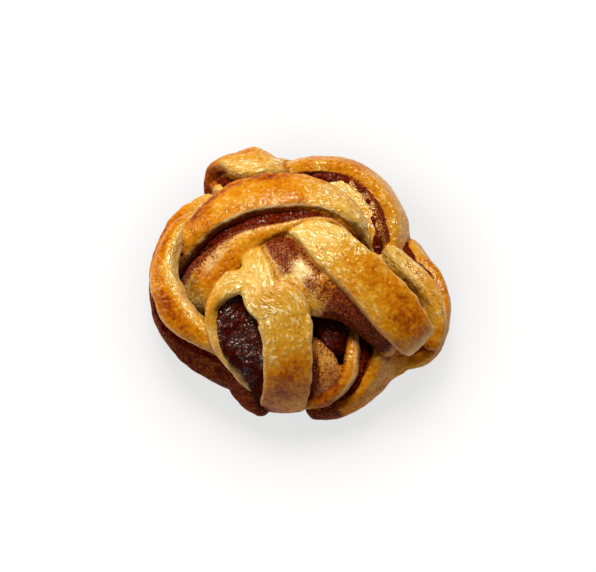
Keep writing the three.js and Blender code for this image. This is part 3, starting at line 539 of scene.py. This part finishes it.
relief += EDGE_WAVE * blended(found, waves, 0.0)
points += normals_of(skin) * relief[:, None]
put_points(skin, points)
skin = modified(skin, "DECIMATE", ratio=SKIN_TRIANGLES / (2 * len(skin.polygons)))
points = points_of(skin)
points[:, 2] = np.maximum(points[:, 2], 0)
put_points(skin, points)

# How browned, smeared and cut the skin is at every point. It is browned unevenly, and most of all by the
# hot tray. The lump between the bands is smeared with filling, but neither low down nor on its outer wall.
TRAY_BAKE, TRAY_BAKE_HEIGHT = 0.15, 8
LUMP_SMEAR = 0.7
SMEAR_HEIGHT = (8, 14)
SMEAR_RADIUS = (37, 44)
found = local_places(points)
bake = blended(found, {name: place["bake"] for name, place in found.items()}, LUMP_BAKE)
bake += 0.14 * clouds(points, 9, 6) + 0.09 * clouds(points, 3.5, 7)
bake += TRAY_BAKE * fade(TRAY_BAKE_HEIGHT - points[:, 2], 0, TRAY_BAKE_HEIGHT)
bake += blended(found, {name: painted(name, "bake", place) for name, place in found.items()}, 0.0)
crumb = blended(found, {name: painted(name, "crumb", place) for name, place in found.items()}, 0.0, 0.3)
inside_wall = 1 - fade(np.hypot(points[:, 0], points[:, 1]), *SMEAR_RADIUS)
smear = blended(found, {name: painted(name, "smear", place) for name, place in found.items()},
                LUMP_SMEAR * fade(points[:, 2], *SMEAR_HEIGHT) * inside_wall, 0.3)


def put_attribute(mesh, name, values):
    """Keeps a number from 0 to 1 for each point, for the material to read."""
    layer = mesh.attributes.new(name, "FLOAT", "POINT")
    layer.data.foreach_set("value", np.clip(values, 0, 1).astype(np.float32))


# A crease is where two bands touch, outside the pulled sheet: the crust is darkened there as painted shade,
# and given a little filling smear. The dough is pulled where it is pale, and not across a crease.
CREASE_SHADE, CREASE_SMEAR = 0.22, 0.35
CREASE_WIDTH = (0.2, 1.3)           # how far the second nearest band is, where a crease begins and ends
SHEET_EDGE = (6, 9)                 # how far from the sheet's places creases start
PULLED_BAKE, PULLED_SPAN = 0.58, 0.33
outside = np.stack([place["outside"] for place in found.values()])
first, second = np.partition(outside, 1, axis=0)[:2]
sheet_gap = np.min([np.linalg.norm(points - place, axis=1) for place in PULLED_SHEET], axis=0)
crease_shade_and_smear = (1 - fade(second, *CREASE_WIDTH)) * fade(sheet_gap, *SHEET_EDGE)
# Painted shade: the crust colour is made darker along the creases.
bake += CREASE_SHADE * crease_shade_and_smear
smear = np.maximum(smear, CREASE_SMEAR * crease_shade_and_smear)
pulled = fade(PULLED_BAKE - bake, 0.0, PULLED_SPAN) * fade(second - first, 0.1, 1.0)

# Where each point lies on its own band, in millimetres along, across and through it, so that the wrinkles
# follow the strip. The bands lie BAND_APART from each other in it, and so have wrinkles of their own.
BAND_APART = 60
nearest = outside.argmin(0)
strip = np.stack([np.stack([place["along"] + BAND_APART * number, place["x"], place["depth"]], 1)
                  for number, place in enumerate(found.values())])
strip = strip[nearest, np.arange(len(points))]
layer = skin.attributes.new("strip", "FLOAT_VECTOR", "POINT")
layer.data.foreach_set("vector", strip.astype(np.float32).ravel())
put_attribute(skin, "pulled", pulled)
put_attribute(skin, "bake", bake)
put_attribute(skin, "crumb", crumb)
put_attribute(skin, "smear", smear)
dough = bpy.data.objects.new("dough_twist", skin)
bpy.context.scene.collection.objects.link(dough)


def linear(code):
    """An sRGB hex colour as the linear colour that a shader takes."""
    parts = [int(code[i:i + 2], 16) / 255 for i in (1, 3, 5)]
    return (*[c / 12.92 if c <= 0.04045 else ((c + 0.055) / 1.055) ** 2.4 for c in parts], 1.0)


def node(tree, kind, inputs, output=0, stops=None, **settings):
    """Adds a node and gives the output of that name or number. inputs are values, or outputs that feed
    them, in the order of the sockets or by their name or number. stops are the places and sRGB hex colours
    of a colour ramp."""
    added = tree.nodes.new("ShaderNode" + kind)
    for key, value in settings.items():
        setattr(added, key, value)
    for key, value in inputs.items() if isinstance(inputs, dict) else enumerate(inputs):
        if isinstance(value, bpy.types.NodeSocket):
            tree.links.new(value, added.inputs[key])
        else:
            added.inputs[key].default_value = value
    if stops:
        elements = added.color_ramp.elements
        elements[1].position, elements[0].position = stops[-1][0], stops[0][0]
        for place, _ in stops[1:-1]:
            elements.new(place)
        for element, (_, code) in zip(elements, stops):
            element.color = linear(code)
    return added.outputs[output]


def new_material(name, finish):
    """A material with these constants on its shader's own sockets: the material, its tree, its shader."""
    material = bpy.data.materials.new(name)
    material.use_nodes = True
    shader = material.node_tree.nodes["Principled BSDF"]
    for socket, value in finish.items():
        shader.inputs[socket].default_value = value
    return material, material.node_tree, shader


# Egg-washed wheat crust: browned dough with a thin glossy glaze of baked egg on its upper faces. It gives
# golden colours that go from cream where the dough was stretched to red-brown where the oven was hottest,
# small dark specks, and glints on its wrinkles: real ones from the wash and painted ones on pulled dough.
WRINKLE_GRAIN = (2.2, 1.0, 1.0)     # a wrinkle's length along the strip, width and depth, in millimetres
BLISTER_GRAIN = 1.4 * MM            # drawn coarser than the real ones, as finer ones don't show
MOTTLE_GRAIN = 3.0 * MM             # darker and paler patches of crust
SMEAR_GRAIN = 4.5 * MM              # patches that the filling was rubbed into
CINNAMON_GRAIN = 0.6 * MM           # crumbs of cinnamon at a smear's edge
GRIT_GRAIN = 0.9 * MM               # lumps of cinnamon and sugar in it
SPECK_GAP = 1.9 * MM                # from one dark speck to the next
WASH_HEIGHT = (8 * MM, 24 * MM)     # the egg was brushed on from above: none below, all of it from there on
crust, tree, shader = new_material("egg_washed_crust", {
    "IOR": 1.45, "Specular IOR Level": 0.02, "Coat IOR": 1.6, "Coat Roughness": 0.08})
place = node(tree, "TexCoord", [], "Object")
above = node(tree, "SeparateXYZ", [place], "Z")
bake_in, crumb_in, smear_in, pulled_in = [node(tree, "Attribute", [], "Fac", attribute_name=name)
                                          for name in ("bake", "crumb", "smear", "pulled")]
strip_in = node(tree, "Attribute", [], "Vector", attribute_name="strip")
strip_in = node(tree, "VectorMath", [strip_in, tuple(1 / size for size in WRINKLE_GRAIN)],
                operation="MULTIPLY")
wrinkles = node(tree, "TexNoise", {"Vector": strip_in, "Scale": 1.0, "Detail": 1.0, "Roughness": 0.5,
                                   "Distortion": 0.8})
blisters = node(tree, "TexNoise", {"Vector": place, "Scale": 1 / BLISTER_GRAIN, "Detail": 1.0,
                                   "Roughness": 0.5})
mottle = node(tree, "TexNoise", {"Vector": place, "Scale": 1 / MOTTLE_GRAIN, "Detail": 4.0,
                                 "Roughness": 0.6})
patch = node(tree, "TexNoise", {"Vector": place, "Scale": 1 / SMEAR_GRAIN, "Detail": 3.0})
grain = node(tree, "TexNoise", {"Vector": place, "Scale": 1 / CINNAMON_GRAIN, "Detail": 1.0})
grit = node(tree, "TexNoise", {"Vector": place, "Scale": 1 / GRIT_GRAIN, "Detail": 2.0, "Roughness": 0.6})
dots = node(tree, "TexVoronoi", {"Vector": place, "Scale": 1 / SPECK_GAP}, feature="F1")

# The skin: wrinkles where it was pulled and blisters elsewhere. Its hollows are darkened as painted shade,
# and the ridges of pulled dough are painted near-white cream as painted highlights.
MOTTLE_BAKE, HOLLOW_SHADE = 0.26, 0.5
wrinkled = node(tree, "Math", [pulled_in, 0.85], operation="MULTIPLY")
skin_height = node(tree, "Mix", {0: wrinkled, 2: blisters, 3: wrinkles})
browning = node(tree, "Math", [bake_in, MOTTLE_BAKE / 2], operation="SUBTRACT")
browning = node(tree, "Math", [mottle, MOTTLE_BAKE, browning], operation="MULTIPLY_ADD")
browning = node(tree, "Math", [browning, HOLLOW_SHADE / 2], operation="ADD")
# Painted shade: the lower the skin's relief, the darker its crust colour.
browning = node(tree, "Math", [skin_height, -HOLLOW_SHADE, browning], operation="MULTIPLY_ADD")
browned = node(tree, "ValToRGB", [browning], stops=[
    (0.0, "#E4C678"), (0.2, "#D2A440"), (0.4, "#CA9020"), (0.6, "#BE7204"), (0.8, "#964200"),
    (1.0, "#521A00")])
# Painted highlights: the ridges of pulled dough are coloured near-white cream in place of the wash's glints.
painted_glint = node(tree, "MapRange", [skin_height, 0.54, 0.68], interpolation_type="SMOOTHSTEP")
glint_share = node(tree, "Math", [pulled_in, 0.75], operation="MULTIPLY")
painted_glint = node(tree, "Math", [painted_glint, glint_share], operation="MULTIPLY")
browned = node(tree, "Mix", {0: painted_glint, 6: browned, 7: linear("#FCEEBE")}, 2, data_type="RGBA")

# The pale cut side of the strip.
pale_crumb = node(tree, "ValToRGB", [mottle], stops=[(0.3, "#D4AA62"), (0.7, "#F2DCA6")])
cut = node(tree, "Math", [crumb_in, 0.8], operation="MULTIPLY")
with_crumb = node(tree, "Mix", {0: cut, 6: browned, 7: pale_crumb}, 2, data_type="RGBA")

# Filling rubbed into the dough: a brown stain, and on it crumbs of cinnamon that cover it where it is thick.
rubbed = node(tree, "Math", [patch, 0.9, -0.45], operation="MULTIPLY_ADD")
rubbed = node(tree, "Math", [smear_in, rubbed], operation="ADD")
stain = node(tree, "MapRange", [rubbed, 0.05, 0.8], interpolation_type="SMOOTHSTEP")
stain = node(tree, "Math", [stain, 0.7], operation="MULTIPLY")
stained = node(tree, "Mix", {0: stain, 6: with_crumb, 7: linear("#A8581C")}, 2, data_type="RGBA")
cover = node(tree, "Math", [grain, 2.0, -1.0], operation="MULTIPLY_ADD")
cover = node(tree, "Math", [rubbed, 1.3, cover], operation="MULTIPLY_ADD")
cover = node(tree, "MapRange", [cover, 0.2, 1.1], interpolation_type="SMOOTHSTEP")
cinnamon = node(tree, "ValToRGB", [grit], stops=[(0.3, "#3C0600"), (0.5, "#601400"), (0.7, "#A04814")])
with_smear = node(tree, "Mix", {0: cover, 6: stained, 7: cinnamon}, 2, data_type="RGBA")

# Dark specks of bran and burnt sugar.
dots = node(tree, "Math", [dots, -1.0], operation="MULTIPLY")
dots = node(tree, "Math", [mottle, 0.3, dots], operation="MULTIPLY_ADD")
dots = node(tree, "MapRange", [dots, 0.0, 0.05], interpolation_type="SMOOTHSTEP")
dots = node(tree, "Math", [dots, 0.7], operation="MULTIPLY")
with_specks = node(tree, "Mix", {0: dots, 6: with_smear, 7: linear("#4E2206")}, 2, data_type="RGBA")
tree.links.new(with_specks, shader.inputs["Base Color"])
tree.links.new(node(tree, "MapRange", [mottle, 0.3, 0.7, 0.35, 0.5]), shader.inputs["Roughness"])

# The egg wash lies thickest on pulled dough, and thin on cinnamon.
washed = node(tree, "MapRange", [above, *WASH_HEIGHT], interpolation_type="SMOOTHSTEP")
thick = node(tree, "Math", [pulled_in, 0.7, 0.3], operation="MULTIPLY_ADD")
washed = node(tree, "Math", [washed, thick], operation="MULTIPLY")
clean = node(tree, "Math", [cover, -0.5, 1.0], operation="MULTIPLY_ADD")
washed = node(tree, "Math", [washed, clean], operation="MULTIPLY")
tree.links.new(washed, shader.inputs["Coat Weight"])

# The relief too fine for the mesh. The wash has a deeper one than the dough, for its glints.
DOUGH_RELIEF, WASH_RELIEF = 1.0 * MM, 1.5 * MM
swell = node(tree, "Math", [pulled_in, 0.5, 0.35], operation="MULTIPLY_ADD")
swell = node(tree, "Math", [swell, cover], operation="MAXIMUM")
height = node(tree, "Mix", {0: cover, 2: skin_height, 3: grit})
height = node(tree, "Math", [swell, height], operation="MULTIPLY")
for relief, normal in ((DOUGH_RELIEF, "Normal"), (WASH_RELIEF, "Coat Normal")):
    bump = node(tree, "Bump", {"Height": height, "Strength": 1.0, "Distance": relief})
    tree.links.new(bump, shader.inputs[normal])
skin.materials.append(crust)
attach(dough, "root")
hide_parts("dough")


# ---- The cinnamon filling -----------------------------------------------------------------------------
# Butter, sugar and ground cinnamon, melted into a dark sticky paste in the oven. It lies between the dough
# layers as a lumpy sheet. Each place where it comes out has a piece of its own, pressed into the dough.

FILLING = {
    "filling_arc": dict(thick=2.4, path=[
        (-42, 2.5, 18, 8, -18), (-33.5, 9.5, 29.5, 12, -30), (-19.5, 15, 36, 16, -16),
        (-4.5, 18, 37.5, 17, -8), (11, 17.5, 36.5, 13, -8), (22, 11, 29, 6, -20)]),
    "filling_diagonal": dict(thick=2.2, path=[
        (4, 3, 42, 9, 0), (11, -2, 44.5, 13.5, -9), (18, -8.5, 43.8, 15, -11), (24.5, -14.5, 40.8, 15.5, -12),
        (31, -20.5, 36.3, 15.5, -16), (36.5, -26, 29.8, 13, -17)]),
    "filling_eye": dict(thick=3, path=[
        (-19.5, -15.5, 38.5, 6.5, 15), (-20.5, -24, 36, 14.5, 27), (-18, -32.5, 33, 15, 25),
        (-14.5, -39, 28, 9.5, 11), (-13, -44, 20.5, 5.5, -5), (-12.5, -47.5, 12, 3, 10)]),
    "filling_pocket": dict(thick=5, path=[
        (5, -11, 27, 9, 0), (10.5, -17, 28.5, 15, 0), (13, -25, 27.5, 13, 0), (12.5, -32.5, 23.5, 8, 0)]),
    "filling_back": dict(thick=4, path=[
        (0.5, 38, 15, 16, 0), (10.5, 37.5, 18, 19, 0), (20.5, 33.5, 19, 19, 0), (26.8, 25, 19, 19, 0),
        (29, 14, 18.5, 18, 0), (28, 4.5, 13, 12, -10)]),
    "filling_right": dict(thick=3.5, path=[
        (39.5, 12.5, 12, 12, -10), (41.5, 5.5, 15.5, 15, -10), (46.5, -1, 16, 15, -5), (48, -9, 16, 14, 0),
        (47, -18, 14, 12, 0), (44, -24.5, 10.5, 8, 0)]),
    "filling_front": dict(thick=5, path=[
        (22.5, -17.5, 16, 14, 0), (24, -32, 17, 14, 0), (18.5, -42, 12.5, 11, 0), (3.5, -45, 8.5, 5, 0)]),
    "filling_left": dict(thick=2.5, path=[
        (-40, 19.5, 21, 6.5, 56), (-47, 7, 21.5, 7.5, 50), (-48, -7, 21.5, 8, 53), (-43.5, -20.5, 21, 8, 46),
        (-31.5, -28, 19.5, 7, 43), (-18, -32.5, 15.5, 4.5, 31)]),
    "filling_knob": dict(thick=2.5, path=[
        (-20.5, 32.5, 21, 4, 80), (-25.5, 35.5, 19, 5, 75), (-28.5, 37.5, 14.5, 4, 62),
        (-29.5, 36, 7.5, 3, 70)]),
}

# How far the sugar has melted to syrup: all the way where the paste lies open, less between the layers.
WETNESS = {"filling_eye": 1.0, "filling_pocket": 0.8}
DRY = 0.2

# Cinnamon paste: dark red-brown sugar syrup full of ground bark and sugar grains. Wet and glossy, with
# small bright glints on its lumps.
POOL_GRAIN = 6.0 * MM               # pools of syrup
LUMP_GRAIN = 1.7 * MM               # the lumps that glint, drawn coarser than real sugar to show
BARK_GRAIN = 1.0 * MM               # ground bark
OPEN_HEIGHT = (20 * MM, 36 * MM)    # the syrup is glossy at the top, where the oven's heat reached it
paste, tree, shader = new_material("cinnamon_sugar_paste", {
    "Roughness": 0.6, "Specular IOR Level": 0.02, "Coat IOR": 1.5, "Coat Roughness": 0.1})
place = node(tree, "TexCoord", [], "Object")
above = node(tree, "SeparateXYZ", [place], "Z")
wet_in = node(tree, "Attribute", [], "Fac", attribute_name="wet")
grit = node(tree, "TexNoise", {"Vector": place, "Scale": 1 / BARK_GRAIN, "Detail": 4.0, "Roughness": 0.7})
lumps = node(tree, "TexNoise", {"Vector": place, "Scale": 1 / LUMP_GRAIN, "Detail": 1.0, "Roughness": 0.5})
pool = node(tree, "TexNoise", {"Vector": place, "Scale": 1 / POOL_GRAIN, "Detail": 2.0})
syrup = node(tree, "ValToRGB", [grit], stops=[
    (0.3, "#1C0200"), (0.5, "#340600"), (0.68, "#581404"), (0.85, "#843010")])
ground = node(tree, "ValToRGB", [grit], stops=[
    (0.3, "#340400"), (0.5, "#5C1402"), (0.68, "#862E0A"), (0.85, "#A85424")])
colour = node(tree, "Mix", {0: wet_in, 6: ground, 7: syrup}, 2, data_type="RGBA")
tree.links.new(colour, shader.inputs["Base Color"])
melted = node(tree, "MapRange", [pool, 0.42, 0.6], interpolation_type="SMOOTHSTEP")
lying_open = node(tree, "MapRange", [above, *OPEN_HEIGHT], interpolation_type="SMOOTHSTEP")
melted = node(tree, "Math", [melted, lying_open], operation="MULTIPLY")
tree.links.new(melted, shader.inputs["Coat Weight"])
PASTE_RELIEF, SYRUP_RELIEF = 1.5 * MM, 2.4 * MM
for relief, normal in ((PASTE_RELIEF, "Normal"), (SYRUP_RELIEF, "Coat Normal")):
    bump = node(tree, "Bump", {"Height": lumps, "Strength": 1.0, "Distance": relief})
    tree.links.new(bump, shader.inputs[normal])

PASTE_CROWN = 0.4
PASTE_EDGE = 1.2
for name, sheet in FILLING.items():
    grid = band_grid(sheet["path"], sheet["thick"], PASTE_CROWN, count=180, radius=PASTE_EDGE, flat=24, arc=6)
    mesh = tube_mesh(name, [grid])
    points = points_of(mesh)
    lump = 0.45 * clouds(points, 2.2, 11) + 0.2 * clouds(points, 1.1, 12)   # clots, and grains of sugar
    points += normals_of(mesh) * lump[:, None]
    put_points(mesh, points)
    put_attribute(mesh, "wet", np.full(len(points), WETNESS.get(name, DRY)))
    mesh.materials.append(paste)
    piece = bpy.data.objects.new(name.replace("filling", "paste"), mesh)
    bpy.context.scene.collection.objects.link(piece)
    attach(piece, "root")
    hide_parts(name)


# ---- Floor, light and camera --------------------------------------------------------------------------
# A plain white floor in an even warm light, a soft light nearly overhead at the back and a small window at
# the left. The floor glows evenly, with a painted shadow round the bun: its glow is lowered near the bun.

WARM = (1.0, 0.94, 0.8)             # the colour of all the light
SKY_LIGHT = 0.12
FLOOR_HALF = 3.0
PAPER_GLOW = 0.95                   # brightness of the open floor
SHADE_DEPTH = 0.21                  # how much of it is lost next to the bun
SHADE_FROM, SHADE_TO = 95 * MM, 53 * MM
floor_mesh = bpy.data.meshes.new("floor")
floor_mesh.from_pydata([(-FLOOR_HALF, -FLOOR_HALF, 0), (FLOOR_HALF, -FLOOR_HALF, 0),
                        (FLOOR_HALF, FLOOR_HALF, 0), (-FLOOR_HALF, FLOOR_HALF, 0)], [], [(0, 1, 2, 3)])
floor = bpy.data.objects.new("floor", floor_mesh)
bpy.context.scene.collection.objects.link(floor)

# White background paper: matt and glowing evenly, with a painted shadow, the square of the nearness to the
# bun.
paper, tree, shader = new_material("white_paper", {
    "Base Color": linear("#404040"), "Roughness": 0.8, "Emission Color": (1, 1, 1, 1)})
reach = node(tree, "VectorMath", [node(tree, "TexCoord", [], "Object")], "Value", operation="LENGTH")
painted_shade = node(tree, "MapRange", [reach, SHADE_FROM, SHADE_TO])
painted_shade = node(tree, "Math", [painted_shade, 2.0], operation="POWER")
glow = node(tree, "Math", [painted_shade, -SHADE_DEPTH, PAPER_GLOW], operation="MULTIPLY_ADD")
tree.links.new(glow, shader.inputs["Emission Strength"])
floor_mesh.materials.append(paper)

world = bpy.data.worlds.new("even_sky")
world.use_nodes = True
world.node_tree.nodes["Background"].inputs["Color"].default_value = (*WARM, 1)
world.node_tree.nodes["Background"].inputs["Strength"].default_value = SKY_LIGHT
bpy.context.scene.world = world


def soft_light(name, place, target, size, power):
    """A square area light that faces its target: its side in metres, its power in watts."""
    data = bpy.data.lights.new(name, "AREA")
    data.size = size
    data.energy = power
    data.color = WARM
    light = bpy.data.objects.new(name, data)
    light.location = place
    light.rotation_mode = "QUATERNION"
    light.rotation_quaternion = (Vector(target) - Vector(place)).to_track_quat("-Z", "Y")
    bpy.context.scene.collection.objects.link(light)


BUN_MIDDLE = (0, 0, 0.03)
soft_light("softbox", (-0.06, 0.32, 0.78), BUN_MIDDLE, 0.28, 9.0)
soft_light("window", (-0.6, 0.12, 0.3), BUN_MIDDLE, 0.2, 1.5)

# The camera looks down on the bun from 68 degrees. Its distance makes the bun 297 of the picture's 596
# pixels wide, and its shift puts the place it aims at on the picture's row 283.
PICTURE = (596, 572)
AIM_ROW = 283
BUN_PIXELS = 297
BUN_WIDTH = 0.105
ELEVATION = math.radians(68)
LENS = 85.0
SENSOR = 36.0
AIM = Vector((0.0, -0.0045, 0.022)) + Vector(CENTRE_SHIFT * MM)
distance = LENS / SENSOR * PICTURE[0] * BUN_WIDTH / BUN_PIXELS
camera_data = bpy.data.cameras.new("camera")
camera_data.lens = LENS
camera_data.sensor_width = SENSOR
camera_data.shift_y = (AIM_ROW - PICTURE[1] / 2) / PICTURE[0]
camera = bpy.data.objects.new("camera", camera_data)
camera.location = AIM + distance * Vector((0, -math.cos(ELEVATION), math.sin(ELEVATION)))
camera.rotation_euler = (math.pi / 2 - ELEVATION, 0, 0)
bpy.context.scene.collection.objects.link(camera)
bpy.context.scene.camera = camera
bpy.context.scene.view_settings.view_transform = "Standard"
